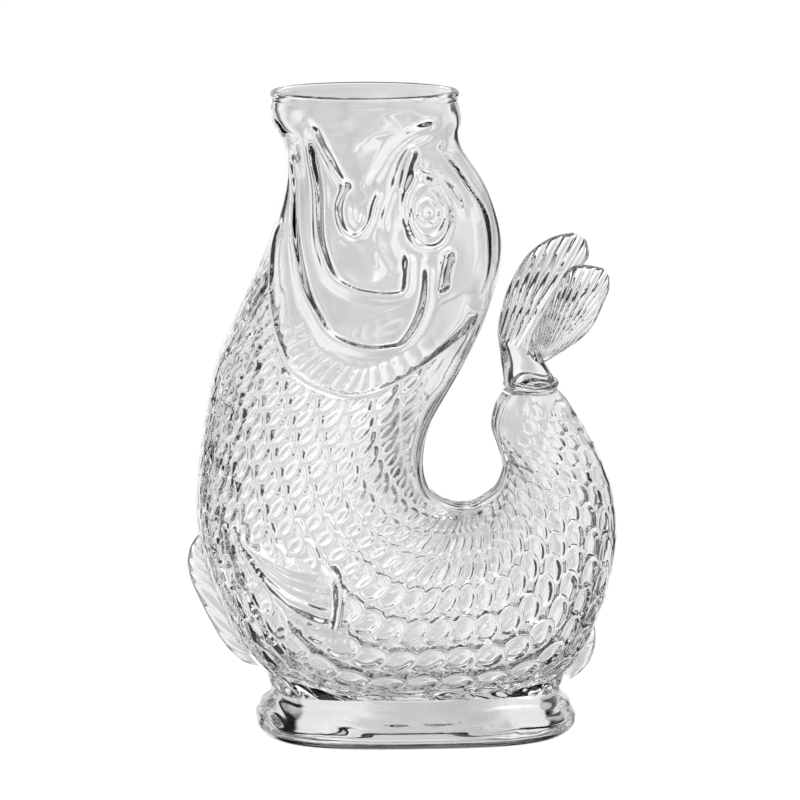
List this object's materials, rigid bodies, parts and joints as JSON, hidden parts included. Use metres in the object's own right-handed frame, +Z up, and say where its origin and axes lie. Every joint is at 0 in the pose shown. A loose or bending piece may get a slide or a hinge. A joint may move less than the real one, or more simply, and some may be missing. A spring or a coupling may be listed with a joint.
{
  "type": "water carafe",
  "caption": "Clear glass water carafe shaped like a fish standing on an oval foot, with an open mouth to pour from and a finger gap between back and tail.",
  "frame": {"origin": "centre of the foot's flat underside", "axes": "+Z up towards the mouth, +X from the belly to the tail, the plane y = 0 is the fish's plane of symmetry"},
  "size_m": [0.1796, 0.1014, 0.2698],
  "materials": {
    "clear_glass": "clear colourless blown glass, fire polished",
    "solid_glass": "clear solid glass with a faint green grey tint in its thickness"
  },
  "bodies": {
    "root": {"body_shell": "clear_glass", "rim_bead": "clear_glass", "foot": "solid_glass", "tail_collar": "solid_glass", "tail_fin": "solid_glass", "belly_fin": "solid_glass", "anal_fin": "solid_glass", "pectoral_fin_left": "clear_glass", "pectoral_fin_right": "clear_glass", "gill_cover_left": "clear_glass", "gill_cover_right": "clear_glass", "cheek_fold_left": "clear_glass", "cheek_fold_right": "clear_glass", "mouth_corner_left": "clear_glass", "mouth_corner_right": "clear_glass", "eye_ring_left": "clear_glass", "eye_ring_right": "clear_glass", "eye_pupil_left": "clear_glass", "eye_pupil_right": "clear_glass"}
  },
  "joints": []
}
